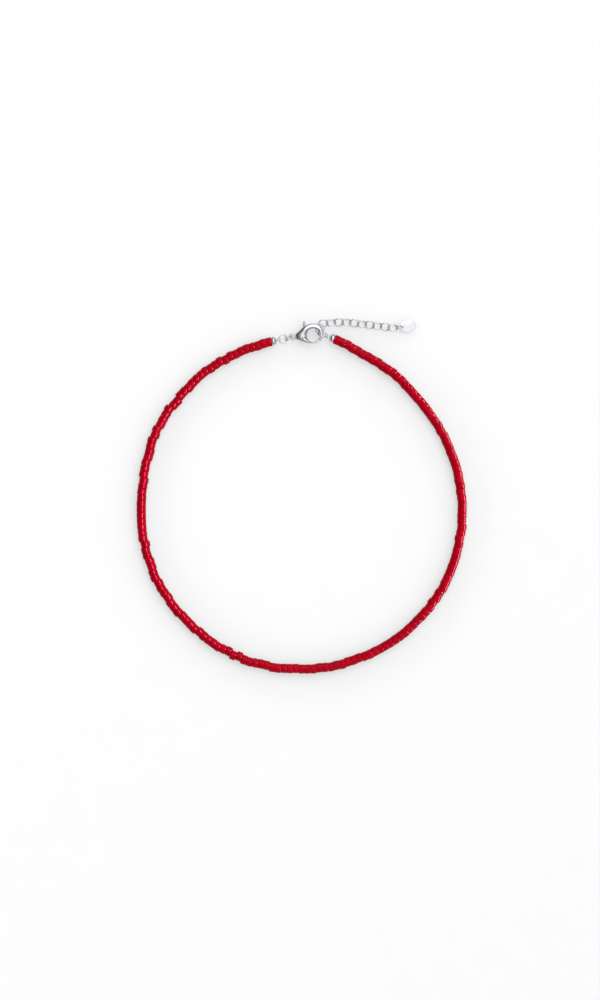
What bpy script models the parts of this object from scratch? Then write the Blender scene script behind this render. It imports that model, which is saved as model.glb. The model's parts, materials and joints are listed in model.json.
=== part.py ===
"""Coral bead choker with a lobster clasp and an extender chain, lying in a loop.

Metres, +Z up. The loop lies on the surface z = 0 with its clasp at +Y. Each piece is
built about its own middle and then placed by its heading, slope and roll.
"""
import math

import bmesh
import bpy
from mathutils import Matrix, Vector

# Strand of beads
BEAD_DIAMETER = 0.0033
BEAD_PITCH = 0.00205
BEAD_SIDES = 10
BEAD_FLAT_SHARE = 0.62
GROOVE_SHARE = 0.80
TOUCH_GAP = 0.0003
ROUTE_STEPS = 24
LEAD_BEADS = 2

# Middle line of the strand, clockwise from the right bead tip to the left one
STRAND_ROUTE = [
    (0.0193, 0.0510), (0.0279, 0.0459), (0.0356, 0.0398), (0.0477, 0.0246),
    (0.0549, 0.0066), (0.0555, -0.0130), (0.0492, -0.0318), (0.0364, -0.0471),
    (0.0191, -0.0569), (-0.0005, -0.0604), (-0.0201, -0.0570), (-0.0369, -0.0466),
    (-0.0495, -0.0315), (-0.0557, -0.0129), (-0.0554, 0.0065), (-0.0498, 0.0253),
    (-0.0373, 0.0408), (-0.0293, 0.0468), (-0.0202, 0.0512),
]

# Bead tips: a cup over the end of the strand with a wire loop at its closed end
TIP_DIAMETER = 0.0031
TIP_LENGTH = 0.0018
TIP_WALL = 0.00026
TIP_LOOP_HOLE = 0.0010
TIP_LOOP_WIRE = 0.0004
TIP_SIDES = 12
TIP_HEADING = {"left": 14.0, "right": -25.0}
TIP_LOOP_ROLL = {"left": 90.0, "right": 0.0}

# Cup of a bead tip, from its closed end to its mouth and back inside: shares of its length
# and of its outer or inner radius
TIP_OUTSIDE = [(1.0, 0.0), (0.97, 0.30), (0.74, 0.74), (0.36, 0.97), (0.0, 1.0)]
TIP_INSIDE = [(0.0, 1.0), (0.36, 0.95), (0.60, 0.62), (0.68, 0.0)]

# Rings, links and their looseness
RING_SEGMENTS = 12
WIRE_SIDES = 6
SLACK = 0.0002
LEFT_RING_DIAMETER = 0.0034
LEFT_RING_WIRE = 0.0005
CLASP_RING_DIAMETER = 0.0030
CLASP_RING_WIRE = 0.00045
RIGHT_RING_DIAMETER = 0.0042
RIGHT_RING_WIRE = 0.00045
LEFT_RING_TURNS = (8.0, -10.0, 0.0)
CLASP_RING_TURNS = (15.0, 0.0, -62.0)
RIGHT_RING_TURNS = (-17.0, -6.0, -64.0)
LEFT_LOOP_BEARING = 12.0
LINK_LENGTH = 0.00365
LINK_WIDTH = 0.0034
LINK_WIRE = 0.00042
LINK_SLACK = 0.0001
LINK_COUNT = 11
LINK_ROLL = 36.0
TAG_LINK_LENGTH = 0.0027
TAG_LINK_WIDTH = 0.0026
TAG_LINK_ROLL = 68.0
TAG_LINK_WIRE = 0.00038

# First two links, under the clasp's rim: bearing of the step to each, that step as a share
# of the links' inner reach, and the link's heading, slope and roll
LEAD_LINKS = [
    (59.2, 1.210, (92.5, -4.7, -9.6)),
    (56.7, 0.828, (0.6, -5.7, 40.3)),
]
LEAD_LINK_LIFT = 0.00012

# Middle line of the extender chain, after its first two links
CHAIN_ROUTE = [
    (0.0145, 0.0611), (0.0204, 0.0605), (0.0258, 0.0599), (0.0312, 0.0592), (0.0336, 0.0593),
]

# End tag
TAG_LENGTH = 0.0059
TAG_WIDTH = 0.0041
TAG_THICKNESS = 0.00045
TAG_HOLE = 0.0011
TAG_HOLE_INSET = 0.00095
TAG_HEADING = 12.0
TAG_HANG = 12.0
TAG_SIDES = 24

# Rim of the tag: share of half its thickness, share of its outline's size
TAG_RIM = [(-1.0, 0.95), (-0.4, 1.0), (0.4, 1.0), (1.0, 0.95)]

# Lobster clasp
CLASP_WIDTH = 0.0070
CLASP_THICKNESS = 0.0030
CLASP_HOLE = 0.00456
CLASP_REACH = 0.0072
CLASP_HEADING = 10.0
CLASP_SLOPE = 4.0
CLASP_STATIONS = 28
EYE_DIAMETER = 0.0024
EYE_HOLE = 0.0012
EYE_THICKNESS = 0.0010
EYE_BEARING = 174.7
TAIL_SINK = 0.0003
EYE_SIDES = 8
EYE_SEGMENTS = 14
SLOT_WIDTH = 0.0011
RUNNING_GAP = 0.00012
RIVET_DIAMETER = 0.0007
RIVET_GAP = 0.00007
BOSS_WALL = 0.00053
PIN_SIDES = 12
BOSS_SIDES = 16
GATE_THICKNESS = 0.0016
KNOB_REACH = 0.0060
KNOB_WIDTH = 0.00076
KNOB_SIDES = 8
HOLD_POINT = Vector((0.0054, 0.0574, 0.00205))
HOLD_BEARING = 20.0
HOLD_SHARE = 0.76

# Claw of the clasp around its hole: bearing in degrees, outer radius as a share of half
# the clasp's width, its share of the way from there to the tail's end at the eye, inner
# radius as a share of half the hole, half height as a share of half the thickness
CLAW_TABLE = [
    (-52, 0.91, 0.0, 1.11, 0.50),
    (-42, 0.93, 0.0, 1.09, 0.54),
    (-30, 0.98, 0.0, 1.04, 0.56),
    (-15, 1.03, 0.0, 1.00, 0.57),
    (13, 1.07, 0.0, 1.00, 0.58),
    (29, 1.15, 0.0, 1.00, 0.60),
    (53, 1.18, 0.0, 1.00, 0.62),
    (80, 1.18, 0.0, 1.00, 0.68),
    (106, 1.20, 0.0, 1.00, 0.80),
    (128, 1.31, 0.0, 1.00, 0.92),
    (151, 1.47, 0.0, 1.00, 1.00),
    (168, 1.47, 1.0, 1.00, 1.00),
    (182, 1.46, 1.0, 1.00, 1.00),
    (192, 1.46, 0.0, 1.00, 1.00),
    (207, 1.17, 0.0, 1.00, 0.95),
    (230, 0.94, 0.0, 1.00, 0.80),
    (244, 0.85, 0.0, 1.00, 0.62),
]

# Across one section of the claw: share of the way outward, share of the half height
CLAW_SECTION = [(0.0, 0.34), (0.12, 0.80), (0.40, 1.00), (0.80, 0.78), (1.0, 0.34)]

# Arm and gate of the lever: bearing in degrees, outer and inner radius as shares of half
# the clasp's hole, and half height as a share of half the gate's thickness
GATE_TABLE = [
    (198, 1.55, 1.18, 0.54),
    (215, 1.42, 1.08, 0.54),
    (230, 1.32, 1.04, 0.54),
    (246, 1.28, 1.02, 0.54),
    (251, 1.28, 1.01, 1.00),
    (272, 1.28, 1.00, 1.00),
    (290, 1.27, 0.96, 1.00),
    (297, 1.22, 0.91, 0.98),
    (303, 1.06, 0.86, 0.96),
    (318, 1.04, 0.80, 0.90),
]

# Across one section of the gate, as in the claw
GATE_SECTION = [(0.0, 0.60), (0.25, 1.00), (0.75, 1.00), (1.0, 0.60)]

# Slot for the lever, in shares of half the clasp's width from the middle of its hole
SLOT_OUTLINE = [
    (-1.47, -0.90), (-1.36, -0.07), (-1.41, 0.70), (-1.52, 1.40), (-0.35, 1.60),
    (-0.50, 0.70), (-0.34, 0.43), (0.30, 0.0), (0.30, -1.10),
]
PIVOT_SHARE = (-1.0, -0.13)
KNOB_BEARING = 78.0

# Thumb knob of the lever: share of its reach, then its width as a share of the knob's and
# its height as a share of the arm's thickness
KNOB_TABLE = [
    (0.0, 1.5, 1.0), (0.62, 1.2, 1.0), (0.76, 1.0, 1.1), (0.82, 1.0, 1.7), (0.96, 1.0, 1.8), (1.0, 0.7, 1.4),
]

# Half of the rivet's outline: share of half its length, share of its radius
RIVET_TABLE = [(-1.0, 0.0), (-1.0, 0.7), (-0.94, 1.0), (0.94, 1.0), (1.0, 0.7), (1.0, 0.0)]

# Cutters run through this many times the thickness that they cut
CUT_THROUGH = 2.0

SMOOTH_ANGLE = 50.0
WIRE_SMOOTH_ANGLE = 75.0
BEAD_SMOOTH_ANGLE = 30.0

CORAL = {"colour": (0.58, 0.004, 0.020, 1.0), "roughness": 0.30, "metallic": 0.0}
SILVER = {"colour": (0.80, 0.80, 0.82, 1.0), "roughness": 0.18, "metallic": 1.0}


def clear_scene():
    for item in list(bpy.data.objects):
        bpy.data.objects.remove(item, do_unlink=True)


def material(name, colour, roughness, metallic):
    result = bpy.data.materials.new(name)
    result.use_nodes = True
    shader = result.node_tree.nodes["Principled BSDF"]
    shader.inputs["Base Color"].default_value = colour
    shader.inputs["Roughness"].default_value = roughness
    shader.inputs["Metallic"].default_value = metallic
    return result


def bearing(degrees, length=1.0):
    angle = math.radians(degrees)
    return Vector((length * math.cos(angle), length * math.sin(angle), 0.0))


def placement(middle, heading, slope=0.0, roll=0.0):
    """Local X points along the heading and up the slope; a roll lifts local +Y."""
    turn = Matrix.Rotation(math.radians(heading), 4, "Z")
    rise = Matrix.Rotation(-math.radians(slope), 4, "Y")
    lean = Matrix.Rotation(math.radians(roll), 4, "X")
    return Matrix.Translation(middle) @ turn @ rise @ lean


def smooth_route(points, steps):
    """A fine line along a Catmull-Rom curve through the points."""
    knots = [Vector(point) for point in points]
    knots = [2 * knots[0] - knots[1]] + knots + [2 * knots[-1] - knots[-2]]
    line = []
    for a, b, c, d in zip(knots, knots[1:], knots[2:], knots[3:]):
        for step in range(steps):
            t = step / steps
            line.append(0.5 * (2 * b + (c - a) * t + (2 * a - 5 * b + 4 * c - d) * t ** 2
                               + (3 * b - a - 3 * c + d) * t ** 3))
    line.append(knots[-2])
    return line


class Route:
    """A line that gives the point and the direction at a distance along it."""

    def __init__(self, points):
        self.line = smooth_route(points, ROUTE_STEPS)
        self.marks = [0.0]
        for start, end in zip(self.line, self.line[1:]):
            self.marks.append(self.marks[-1] + (end - start).length)
        self.length = self.marks[-1]

    def index(self, distance):
        for number in range(len(self.marks) - 2):
            if self.marks[number + 1] > distance:
                return number
        return len(self.marks) - 2

    def point(self, distance):
        number = self.index(distance)
        span = self.marks[number + 1] - self.marks[number]
        return self.line[number].lerp(self.line[number + 1], (distance - self.marks[number]) / span)

    def direction(self, distance):
        step = BEAD_PITCH / 4
        return (self.point(distance + step) - self.point(distance - step)).normalized()


def mesh_object(name, build, finish, smooth_angle=SMOOTH_ANGLE):
    """A new object whose mesh is closed and faces outward."""
    bmesh.ops.recalc_face_normals(build, faces=build.faces[:])
    mesh = bpy.data.meshes.new(name)
    build.to_mesh(mesh)
    build.free()
    mesh.shade_smooth()
    mesh.set_sharp_from_angle(angle=math.radians(smooth_angle))
    mesh.materials.append(finish)
    item = bpy.data.objects.new(name, mesh)
    bpy.context.scene.collection.objects.link(item)
    return item


def skin(build, loops, closed=False):
    """Faces between loops of equal length, with flat ends unless it closes on itself."""
    rows = [[build.verts.new(point) for point in loop] for loop in loops]
    count = len(rows[0])
    pairs = list(zip(rows, rows[1:]))
    if closed:
        pairs.append((rows[-1], rows[0]))
    for first, second in pairs:
        for place in range(count):
            after = (place + 1) % count
            build.faces.new((first[place], first[after], second[after], second[place]))
    if not closed:
        build.faces.new(rows[0][::-1])
        build.faces.new(rows[-1])


def cutter(name, build):
    item = mesh_object(name, build, None)
    item.hide_render = True
    item.display_type = "WIRE"
    return item


def combine(item, other, operation):
    """Applies one Boolean between two objects and removes the second."""
    step = item.modifiers.new(operation.lower(), "BOOLEAN")
    step.operation = operation
    step.solver = "EXACT"
    step.object = other
    bpy.context.view_layer.update()
    result = bpy.data.meshes.new_from_object(item.evaluated_get(bpy.context.evaluated_depsgraph_get()))
    item.modifiers.remove(step)
    item.data = result
    bpy.data.objects.remove(other, do_unlink=True)


def ring_loops(length, width, wire, height=None, sides=WIRE_SIDES, segments=RING_SEGMENTS):
    """Wire sections around an oval ring that lies in its local XY plane."""
    height = height or wire
    loops = []
    for segment in range(segments):
        angle = 2 * math.pi * segment / segments
        along = Vector(((length - wire) / 2 * math.cos(angle), (width - wire) / 2 * math.sin(angle), 0))
        outward = Vector(((width - wire) * math.cos(angle), (length - wire) * math.sin(angle), 0))
        across = outward.normalized() * wire / 2
        loop = []
        for side in range(sides):
            turn = 2 * math.pi * (side + 0.5) / sides
            loop.append(along + across * math.cos(turn) + Vector((0, 0, height / 2 * math.sin(turn))))
        loops.append(loop)
    return loops


def ring(name, length, width, wire, matrix, finish):
    build = bmesh.new()
    skin(build, ring_loops(length, width, wire), closed=True)
    item = mesh_object(name, build, finish, smooth_angle=WIRE_SMOOTH_ANGLE)
    item.matrix_world = matrix
    return item


def resting_height(matrix, length, width, wire):
    """Height of a ring's middle when its lowest point is on the surface."""
    lift_x = (length - wire) / 2 * matrix.col[0].z
    lift_y = (width - wire) / 2 * matrix.col[1].z
    return math.hypot(lift_x, lift_y) + wire / 2


def resting_ring(name, length, width, wire, middle, turns, finish):
    matrix = placement(Vector((middle.x, middle.y, 0)), *turns)
    matrix.translation.z = resting_height(matrix, length, width, wire)
    return ring(name, length, width, wire, matrix, finish)


def prism(build, outline, height):
    skin(build, [[Vector((x, y, z)) for x, y in outline] for z in (-height / 2, height / 2)])


def rod(build, middle, radius, height, sides):
    outline = []
    for side in range(sides):
        point = bearing(360.0 * (side + 0.5) / sides, radius)
        outline.append((middle.x + point.x, middle.y + point.y))
    prism(build, outline, height)


def strand_axis_height():
    """Height of the beads' middle, with the flat side of each bead on the surface."""
    return BEAD_DIAMETER / 2 * math.cos(math.pi / BEAD_SIDES)


def bead_loop(route, distance, radius):
    middle = route.point(distance).to_3d()
    middle.z = strand_axis_height()
    ahead = route.direction(distance)
    aside = Vector((ahead.y, -ahead.x, 0))
    loop = []
    for side in range(BEAD_SIDES):
        turn = 2 * math.pi * (side + 0.5) / BEAD_SIDES - math.pi / 2
        loop.append(middle + aside * radius * math.cos(turn) + Vector((0, 0, radius * math.sin(turn))))
    return loop


def bead_strand(name, route, first, last, pitch, finish):
    """Beads first to last on the route, fused into one body at the grooves between them."""
    full = BEAD_DIAMETER / 2
    groove = full * GROOVE_SHARE
    flat = BEAD_FLAT_SHARE * pitch / 2
    build = bmesh.new()
    loops = [bead_loop(route, first * pitch + TOUCH_GAP / 2, groove)]
    for bead in range(first, last):
        middle = (bead + 0.5) * pitch
        loops.append(bead_loop(route, middle - flat, full))
        loops.append(bead_loop(route, middle + flat, full))
        if bead < last - 1:
            loops.append(bead_loop(route, (bead + 1) * pitch, groove))
    loops.append(bead_loop(route, last * pitch - TOUCH_GAP / 2, groove))
    skin(build, loops)
    return mesh_object(name, build, finish, smooth_angle=BEAD_SMOOTH_ANGLE)


def turned(build, profile, sides):
    """A closed turned body about local X from an open profile of (x, radius) points."""
    start = build.verts.new((profile[0][0], 0, 0))
    rows = []
    for x, radius in profile[1:-1]:
        row = []
        for side in range(sides):
            turn = 2 * math.pi * (side + 0.5) / sides
            row.append(build.verts.new((x, radius * math.cos(turn), radius * math.sin(turn))))
        rows.append(row)
    end = build.verts.new((profile[-1][0], 0, 0))
    for side in range(sides):
        after = (side + 1) % sides
        build.faces.new((start, rows[0][side], rows[0][after]))
        build.faces.new((end, rows[-1][after], rows[-1][side]))
        for first, second in zip(rows, rows[1:]):
            build.faces.new((first[side], second[side], second[after], first[after]))


def tip_loop_offset():
    """From the mouth of a bead tip to the middle of its loop."""
    return TIP_LENGTH + TIP_LOOP_HOLE / 2 + TIP_LOOP_WIRE / 2


def bead_tip(side, mouth, heading, finish):
    """A cup with its mouth at the beads and its loop on local +X."""
    outer = TIP_DIAMETER / 2
    inner = outer - TIP_WALL
    profile = [(x * TIP_LENGTH, share * outer) for x, share in TIP_OUTSIDE]
    profile += [(x * TIP_LENGTH, share * inner) for x, share in TIP_INSIDE]
    build = bmesh.new()
    turned(build, profile, TIP_SIDES)
    item = mesh_object("bead_tip_" + side, build, finish)
    loop_size = TIP_LOOP_HOLE + 2 * TIP_LOOP_WIRE
    build = bmesh.new()
    skin(build, ring_loops(loop_size, loop_size, TIP_LOOP_WIRE), closed=True)
    loop = mesh_object("loop", build, finish)
    loop.matrix_world = placement(Vector((tip_loop_offset(), 0, 0)), 0, 0, TIP_LOOP_ROLL[side])
    combine(item, loop, "UNION")
    item.matrix_world = placement(mouth, heading)
    return item


def blended(table, angle):
    """A row of the table at an angle, read smoothly between its rows."""
    keys = [row[0] for row in table]
    place = max(number for number in range(len(keys) - 1) if keys[number] <= angle or number == 0)
    share = min(max((angle - keys[place]) / (keys[place + 1] - keys[place]), 0.0), 1.0)
    eased = share * share * (3 - 2 * share)
    mixed = (share + eased) / 2
    return [a + (b - a) * mixed for a, b in zip(table[place][1:], table[place + 1][1:])]


def arc_loop(angle, outer, inner, half_height, section):
    """One closed section, standing on the ray at this bearing from the hole's middle."""
    ray = bearing(angle)
    top = [(ray * (inner + (outer - inner) * share), half_height * rise) for share, rise in section]
    upper = [spot + Vector((0, 0, rise)) for spot, rise in top]
    lower = [spot - Vector((0, 0, rise)) for spot, rise in reversed(top)]
    return upper + lower


def clasp_pivot():
    return Vector((PIVOT_SHARE[0] * CLASP_WIDTH / 2, PIVOT_SHARE[1] * CLASP_WIDTH / 2, 0))


def clasp_matrix():
    """The clasp's frame at the middle of its hole, with the hook's seat on the hold point."""
    turn = placement(Vector(), CLASP_HEADING, CLASP_SLOPE)
    seat = bearing(HOLD_BEARING, HOLD_SHARE * CLASP_HOLE / 2)
    return Matrix.Translation(HOLD_POINT - turn @ seat) @ turn


def clasp_body(matrix, finish):
    build = bmesh.new()
    start, end = CLAW_TABLE[0][0], CLAW_TABLE[-1][0]
    tail_end = CLASP_REACH - EYE_DIAMETER / 2 + TAIL_SINK
    loops = []
    for station in range(CLASP_STATIONS):
        angle = start + (end - start) * station / (CLASP_STATIONS - 1)
        width, tail, inner, height = blended(CLAW_TABLE, angle)
        outer = width * CLASP_WIDTH / 2
        outer += tail * (tail_end - outer)
        rise = height * CLASP_THICKNESS / 2
        loops.append(arc_loop(angle, outer, inner * CLASP_HOLE / 2, rise, CLAW_SECTION))
    skin(build, loops)
    item = mesh_object("clasp_body", build, finish)

    build = bmesh.new()
    wall = (EYE_DIAMETER - EYE_HOLE) / 2
    loops = ring_loops(EYE_DIAMETER, EYE_DIAMETER, wall, EYE_THICKNESS, EYE_SIDES, EYE_SEGMENTS)
    skin(build, loops, closed=True)
    eye = mesh_object("eye", build, finish)
    eye.matrix_world = Matrix.Translation(bearing(EYE_BEARING, CLASP_REACH))
    combine(item, eye, "UNION")

    build = bmesh.new()
    prism(build, [(x * CLASP_WIDTH / 2, y * CLASP_WIDTH / 2) for x, y in SLOT_OUTLINE], SLOT_WIDTH)
    combine(item, cutter("slot", build), "DIFFERENCE")

    build = bmesh.new()
    rod(build, clasp_pivot(), RIVET_DIAMETER / 2 + RIVET_GAP, CLASP_THICKNESS * CUT_THROUGH, PIN_SIDES)
    combine(item, cutter("rivet_hole", build), "DIFFERENCE")
    item.matrix_world = matrix
    return item


def clasp_rivet(matrix, finish):
    profile = [(x * CLASP_THICKNESS / 2, share * RIVET_DIAMETER / 2) for x, share in RIVET_TABLE]
    build = bmesh.new()
    turned(build, profile, PIN_SIDES)
    item = mesh_object("clasp_rivet", build, finish)
    item.matrix_world = matrix @ Matrix.Translation(clasp_pivot()) @ Matrix.Rotation(-math.pi / 2, 4, "Y")
    return item


def clasp_lever(matrix, finish):
    """Arm, gate and thumb knob in one piece, with its origin on the rivet."""
    pivot = clasp_pivot()
    arm_thickness = SLOT_WIDTH - 2 * RUNNING_GAP
    build = bmesh.new()
    loops = []
    for angle, outer, inner, height in GATE_TABLE:
        loops.append(arc_loop(angle, outer * CLASP_HOLE / 2, inner * CLASP_HOLE / 2,
                              height * GATE_THICKNESS / 2, GATE_SECTION))
    skin(build, [[point - pivot for point in loop] for loop in loops])
    item = mesh_object("clasp_lever", build, finish)

    build = bmesh.new()
    rod(build, Vector(), RIVET_DIAMETER / 2 + RIVET_GAP + BOSS_WALL, arm_thickness, BOSS_SIDES)
    combine(item, mesh_object("boss", build, finish), "UNION")

    build = bmesh.new()
    loops = []
    for share, width, height in KNOB_TABLE:
        spot = Vector((share * KNOB_REACH, 0, 0))
        loop = []
        for side in range(KNOB_SIDES):
            turn = 2 * math.pi * (side + 0.5) / KNOB_SIDES
            loop.append(spot + Vector((0, width * KNOB_WIDTH / 2 * math.cos(turn),
                                       height * arm_thickness / 2 * math.sin(turn))))
        loops.append(loop)
    skin(build, loops)
    knob = mesh_object("knob", build, finish)
    knob.matrix_world = placement(Vector(), KNOB_BEARING)
    combine(item, knob, "UNION")

    build = bmesh.new()
    rod(build, Vector(), RIVET_DIAMETER / 2 + RIVET_GAP, GATE_THICKNESS * CUT_THROUGH, PIN_SIDES)
    combine(item, cutter("lever_hole", build), "DIFFERENCE")
    item.matrix_world = matrix @ Matrix.Translation(pivot)
    return item


def end_tag(hole, slope, finish):
    """A plain oval plate with its hole near the end that the chain holds."""
    build = bmesh.new()
    loops = []
    for height, size in TAG_RIM:
        loop = []
        for side in range(TAG_SIDES):
            spot = bearing(360.0 * side / TAG_SIDES)
            x = TAG_LENGTH / 2 * size * spot.x + TAG_LENGTH / 2 - TAG_HOLE_INSET
            loop.append(Vector((x, TAG_WIDTH / 2 * size * spot.y, height * TAG_THICKNESS / 2)))
        loops.append(loop)
    skin(build, loops)
    item = mesh_object("end_tag", build, finish)
    build = bmesh.new()
    rod(build, Vector(), TAG_HOLE / 2, TAG_THICKNESS * CUT_THROUGH, PIN_SIDES)
    combine(item, cutter("tag_hole", build), "DIFFERENCE")
    item.matrix_world = placement(hole, TAG_HEADING, slope)
    return item


def left_fastening(matrix, finish):
    """Rings and bead tip from the clasp's eye back to the left strand; returns its mouth."""
    eye = matrix @ bearing(EYE_BEARING, CLASP_REACH)
    clasp_ring_hole = CLASP_RING_DIAMETER / 2 - CLASP_RING_WIRE
    left_ring_hole = LEFT_RING_DIAMETER / 2 - LEFT_RING_WIRE
    middle = eye - bearing(CLASP_RING_TURNS[0], EYE_HOLE / 2 + clasp_ring_hole - SLACK)
    resting_ring("jump_ring_clasp", CLASP_RING_DIAMETER, CLASP_RING_DIAMETER, CLASP_RING_WIRE,
                 middle, CLASP_RING_TURNS, finish)
    middle = middle - bearing(LEFT_RING_TURNS[0], clasp_ring_hole + left_ring_hole - SLACK)
    middle.z = strand_axis_height() - LEFT_RING_WIRE / 2
    ring("jump_ring_left", LEFT_RING_DIAMETER, LEFT_RING_DIAMETER, LEFT_RING_WIRE,
         placement(middle, *LEFT_RING_TURNS), finish)
    loop = middle - bearing(LEFT_LOOP_BEARING, left_ring_hole + TIP_LOOP_HOLE / 2 - SLACK)
    mouth = loop - bearing(TIP_HEADING["left"], tip_loop_offset())
    mouth.z = strand_axis_height()
    bead_tip("left", mouth, TIP_HEADING["left"], finish)
    return mouth


def right_fastening(finish):
    """The ring that the hook holds and the right bead tip; returns the tip's mouth."""
    heading = RIGHT_RING_TURNS[0]
    middle = HOLD_POINT + bearing(heading, (RIGHT_RING_DIAMETER - RIGHT_RING_WIRE) / 2)
    resting_ring("jump_ring_right", RIGHT_RING_DIAMETER, RIGHT_RING_DIAMETER, RIGHT_RING_WIRE,
                 middle, RIGHT_RING_TURNS, finish)
    reach = RIGHT_RING_DIAMETER / 2 - RIGHT_RING_WIRE + TIP_LOOP_HOLE / 2 - SLACK
    loop = middle + bearing(heading, reach)
    mouth = loop + bearing(TIP_HEADING["right"], tip_loop_offset())
    mouth.z = strand_axis_height()
    bead_tip("right", mouth, TIP_HEADING["right"] + 180.0, finish)
    return mouth


def extender_chain(finish):
    """Links from the held ring out to the tag, lying on the surface with turned rolls."""
    inner_length = LINK_LENGTH / 2 - LINK_WIRE
    inner_width = LINK_WIDTH / 2 - LINK_WIRE
    step, share, turns = LEAD_LINKS[0]
    first = HOLD_POINT + bearing(step, share * inner_length)
    first.z = RIGHT_RING_WIRE + LEAD_LINK_LIFT
    ring("extender_link_01", LINK_LENGTH, LINK_WIDTH, LINK_WIRE, placement(first, *turns), finish)
    step, share, turns = LEAD_LINKS[1]
    second = first + bearing(step, share * (inner_length + inner_width))
    resting_ring("extender_link_02", LINK_LENGTH, LINK_WIDTH, LINK_WIRE, second, turns, finish)
    route = Route([second.to_2d()] + CHAIN_ROUTE)
    pitch = LINK_LENGTH - 2 * LINK_WIRE - LINK_SLACK
    for number in range(2, LINK_COUNT):
        distance = (number - 1) * pitch
        ahead = route.direction(distance)
        roll = LINK_ROLL if number % 2 else -LINK_ROLL
        turns = (math.degrees(math.atan2(ahead.y, ahead.x)), 0.0, roll)
        resting_ring("extender_link_%02d" % (number + 1), LINK_LENGTH, LINK_WIDTH, LINK_WIRE,
                     route.point(distance), turns, finish)
    distance += inner_length + TAG_LINK_LENGTH / 2 - TAG_LINK_WIRE - LINK_SLACK
    ahead = route.direction(distance)
    heading = math.degrees(math.atan2(ahead.y, ahead.x))
    link = resting_ring("tag_link", TAG_LINK_LENGTH, TAG_LINK_WIDTH, TAG_LINK_WIRE,
                        route.point(distance), (heading, 0.0, TAG_LINK_ROLL), finish)
    spot = bearing(-TAG_HANG)
    spot.x *= (TAG_LINK_LENGTH - TAG_LINK_WIRE) / 2
    spot.y *= (TAG_LINK_WIDTH - TAG_LINK_WIRE) / 2
    hole = link.matrix_world @ spot
    drop = hole.z - TAG_THICKNESS / 2
    slope = -math.degrees(math.asin(drop / (TAG_LENGTH - TAG_HOLE_INSET)))
    end_tag(hole, slope, finish)


def bead_strands(start, end, finish):
    """Two strands that meet at the bottom of the loop, between the bead tips' mouths."""
    lead_out = start + bearing(TIP_HEADING["right"], LEAD_BEADS * BEAD_PITCH)
    lead_in = end - bearing(TIP_HEADING["left"], LEAD_BEADS * BEAD_PITCH)
    between = [Vector(point) for point in STRAND_ROUTE]
    route = Route([start.to_2d(), lead_out.to_2d()] + between + [lead_in.to_2d(), end.to_2d()])
    count = round(route.length / BEAD_PITCH)
    pitch = route.length / count
    middle = count // 2
    bead_strand("bead_strand_right", route, 0, middle, pitch, finish)
    bead_strand("bead_strand_left", route, middle, count, pitch, finish)


def centre_on_origin():
    """Moves the whole necklace so that the middle of its footprint is the origin."""
    bpy.context.view_layer.update()
    pieces = [item for item in bpy.context.scene.objects if item.type == "MESH"]
    corners = [item.matrix_world @ vertex.co for item in pieces for vertex in item.data.vertices]
    low = Vector(min(corner[axis] for corner in corners) for axis in range(3))
    high = Vector(max(corner[axis] for corner in corners) for axis in range(3))
    shift = Vector((-(low.x + high.x) / 2, -(low.y + high.y) / 2, -low.z))
    for item in pieces:
        item.location += shift


def main():
    clear_scene()
    coral = material("coral", **CORAL)
    silver = material("silver", **SILVER)
    matrix = clasp_matrix()
    clasp_body(matrix, silver)
    clasp_rivet(matrix, silver)
    clasp_lever(matrix, silver)
    left_mouth = left_fastening(matrix, silver)
    right_mouth = right_fastening(silver)
    extender_chain(silver)
    bead_strands(right_mouth, left_mouth, coral)
    centre_on_origin()


main()
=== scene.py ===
"""Looks of the coral bead necklace: fine meshes, finishes, floor, light and camera.

Metres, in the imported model's frame. Rings, links, beads and the tag are measured on the
solids that they stand for, and the clasp repeats the shares of its own tables.
"""
import json
import math
import random

import bmesh
import bpy
import numpy as np
from mathutils import Matrix, Vector


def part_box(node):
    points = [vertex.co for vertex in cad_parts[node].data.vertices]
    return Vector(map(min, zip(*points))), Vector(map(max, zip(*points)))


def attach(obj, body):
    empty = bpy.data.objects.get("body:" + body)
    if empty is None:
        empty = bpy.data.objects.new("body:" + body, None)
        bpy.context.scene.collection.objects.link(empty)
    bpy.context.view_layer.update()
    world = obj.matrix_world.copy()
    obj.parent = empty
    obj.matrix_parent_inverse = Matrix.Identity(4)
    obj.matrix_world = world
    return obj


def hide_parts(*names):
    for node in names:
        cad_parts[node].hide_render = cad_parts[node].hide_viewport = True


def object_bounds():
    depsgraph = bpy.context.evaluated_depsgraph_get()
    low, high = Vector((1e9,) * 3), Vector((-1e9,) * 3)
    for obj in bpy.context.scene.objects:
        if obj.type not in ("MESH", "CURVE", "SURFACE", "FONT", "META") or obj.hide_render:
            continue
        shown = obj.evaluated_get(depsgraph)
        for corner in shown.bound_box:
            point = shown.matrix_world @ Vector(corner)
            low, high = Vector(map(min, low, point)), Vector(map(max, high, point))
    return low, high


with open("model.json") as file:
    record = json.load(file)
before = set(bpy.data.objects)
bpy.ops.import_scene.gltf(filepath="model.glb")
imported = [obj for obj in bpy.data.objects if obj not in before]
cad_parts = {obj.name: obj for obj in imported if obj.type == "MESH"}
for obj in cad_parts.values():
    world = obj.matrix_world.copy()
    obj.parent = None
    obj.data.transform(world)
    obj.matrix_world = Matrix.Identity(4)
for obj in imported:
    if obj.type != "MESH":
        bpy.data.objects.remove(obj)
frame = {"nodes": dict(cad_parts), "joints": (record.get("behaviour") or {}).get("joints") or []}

CAD_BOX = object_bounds()

# Beads: short drilled cylinders with slightly rounded rims, lapped so that no light falls between
BEAD_DIAMETER = 0.00325
BEAD_OVERLAP = 0.030
BEAD_RIM = 0.00030
BEAD_BARREL = 0.000015
BEAD_HOLE = 0.0010
BEAD_COUNTERSINK = 0.00018
BEAD_SIDES = 40
RIM_STEPS = 4
BEAD_SMOOTH_ANGLE = 40.0

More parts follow.
